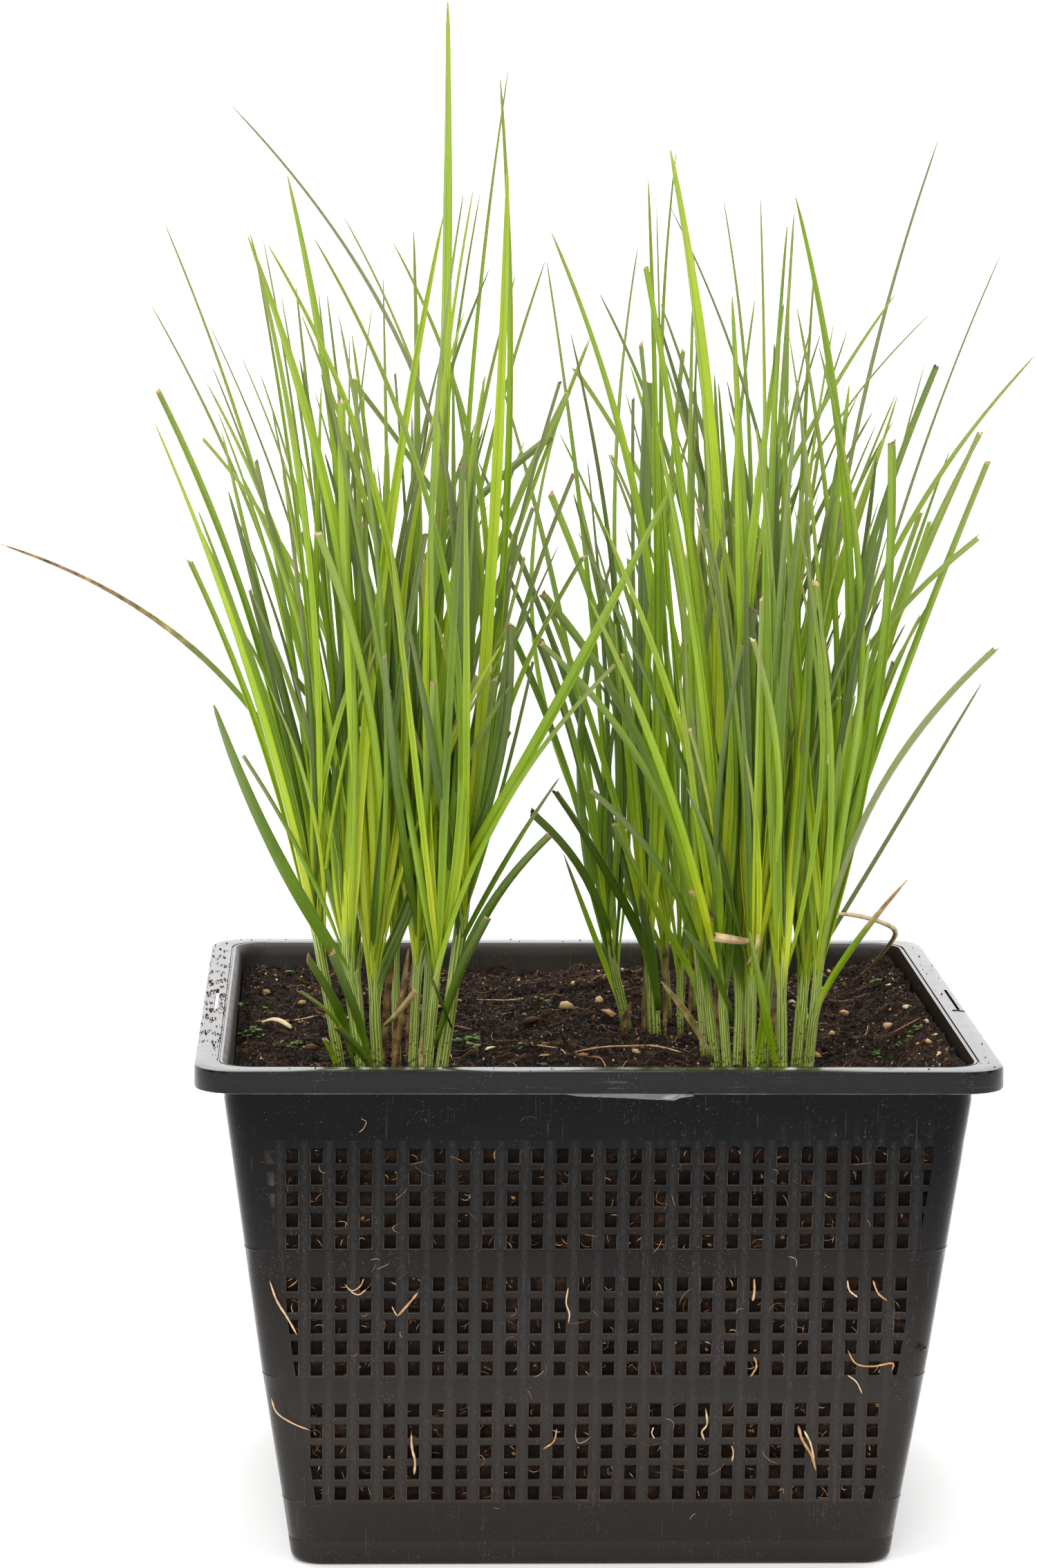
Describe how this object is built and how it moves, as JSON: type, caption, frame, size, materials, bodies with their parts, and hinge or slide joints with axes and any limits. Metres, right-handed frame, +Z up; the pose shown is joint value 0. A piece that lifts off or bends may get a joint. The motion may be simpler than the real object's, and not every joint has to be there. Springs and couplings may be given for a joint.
{
  "type": "potted palm sedge",
  "caption": "Tufts of palm sedge with narrow arching leaves growing in a square black mesh basket of dark peat, with a flat rim, tapered perforated walls and a flat base.",
  "frame": {"origin": "centre of the basket's flat underside, where it stands", "axes": "+Z up; the basket's front faces -Y; +X is to the right as one looks at the front"},
  "size_m": [0.374, 0.308, 0.547],
  "materials": {
    "basket_plastic": "satin black moulded polypropylene, lightly scratched and dusty with soil",
    "peat": "dark brown moist peat compost with fibres, bark crumbs and small pebbles, matt",
    "sedge_leaf": "living sedge leaf, satin, finely ribbed lengthwise, lime to dark green"
  },
  "bodies": {
    "root": {"basket": "basket_plastic", "soil": "peat", "shoot_left_1": "sedge_leaf", "shoot_left_2": "sedge_leaf", "shoot_left_3": "sedge_leaf", "shoot_left_4": "sedge_leaf", "shoot_left_5": "sedge_leaf", "shoot_left_6": "sedge_leaf", "shoot_left_7": "sedge_leaf", "shoot_left_8": "sedge_leaf", "shoot_left_9": "sedge_leaf", "shoot_middle_1": "sedge_leaf", "shoot_middle_2": "sedge_leaf", "shoot_middle_3": "sedge_leaf", "shoot_middle_4": "sedge_leaf", "shoot_middle_5": "sedge_leaf", "shoot_right_1": "sedge_leaf", "shoot_right_2": "sedge_leaf", "shoot_right_3": "sedge_leaf", "shoot_right_4": "sedge_leaf", "shoot_right_5": "sedge_leaf", "shoot_right_6": "sedge_leaf", "shoot_right_7": "sedge_leaf", "shoot_right_8": "sedge_leaf", "shoot_right_9": "sedge_leaf", "shoot_right_10": "sedge_leaf", "shoot_right_11": "sedge_leaf", "shoot_right_12": "sedge_leaf"}
  },
  "joints": []
}
